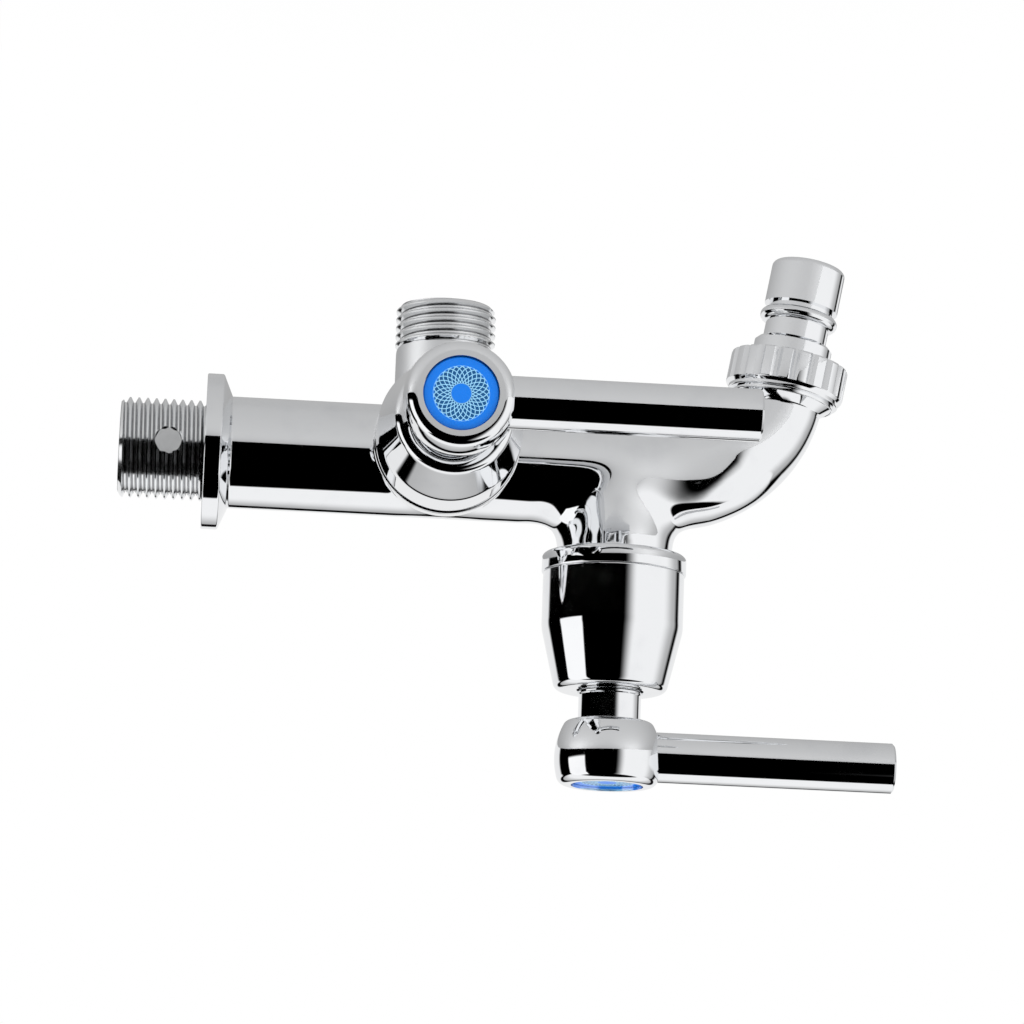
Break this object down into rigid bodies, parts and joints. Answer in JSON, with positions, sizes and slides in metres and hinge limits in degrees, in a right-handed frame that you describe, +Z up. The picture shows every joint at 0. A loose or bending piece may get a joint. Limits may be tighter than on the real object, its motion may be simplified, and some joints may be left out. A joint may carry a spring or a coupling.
{
  "type": "washing machine valve",
  "caption": "Chrome wall tap for a washing machine: threaded inlet, side lever valve over a threaded lower outlet, and upper lever valve over a curved hose spout.",
  "frame": {"origin": "on the inlet axis, at the wall face of the collar", "axes": "+Y into the wall along the inlet, -Y along the pipe to the spout, +Z up to the upper valve, +X out to the side valve"},
  "size_m": [0.0826, 0.1638, 0.1143],
  "materials": {
    "chrome": "polished chrome plate on brass",
    "brass": "turned brass",
    "rubber": "moulded black rubber",
    "ceramic": "lapped white alumina",
    "steel": "zinc plated steel",
    "blue": "moulded blue plastic"
  },
  "bodies": {
    "tap": {"tap_body": "chrome", "nozzle_washer": "rubber", "hose_nipple": "chrome", "coupling_nut": "chrome", "side_bell_cover": "chrome", "side_cartridge_seal": "rubber", "side_cartridge_body": "brass", "side_seat_gasket": "rubber", "side_fixed_disc": "ceramic", "top_bell_cover": "chrome", "top_cartridge_seal": "rubber", "top_cartridge_body": "brass", "top_seat_gasket": "rubber", "top_fixed_disc": "ceramic"},
    "side_handle": {"side_moving_disc": "ceramic", "side_spindle": "brass", "side_spindle_oring": "rubber", "side_spindle_clip": "steel", "side_handle_hub": "chrome", "side_lever_rod": "chrome", "side_handle_screw": "steel", "side_index_cap": "blue"},
    "top_handle": {"top_moving_disc": "ceramic", "top_spindle": "brass", "top_spindle_oring": "rubber", "top_spindle_clip": "steel", "top_handle_hub": "chrome", "top_lever_rod": "chrome", "top_handle_screw": "steel", "top_index_cap": "blue"}
  },
  "joints": [
    {"name": "side_lever_turn", "type": "hinge", "parent": "tap", "child": "side_handle", "pos_m": [0, -0.0494, 0], "axis": [1, 0, 0], "range_deg": [0, 90]},
    {"name": "top_lever_turn", "type": "hinge", "parent": "tap", "child": "top_handle", "pos_m": [0, -0.0866, 0], "axis": [0, 0, 1], "range_deg": [0, 90]}
  ]
}
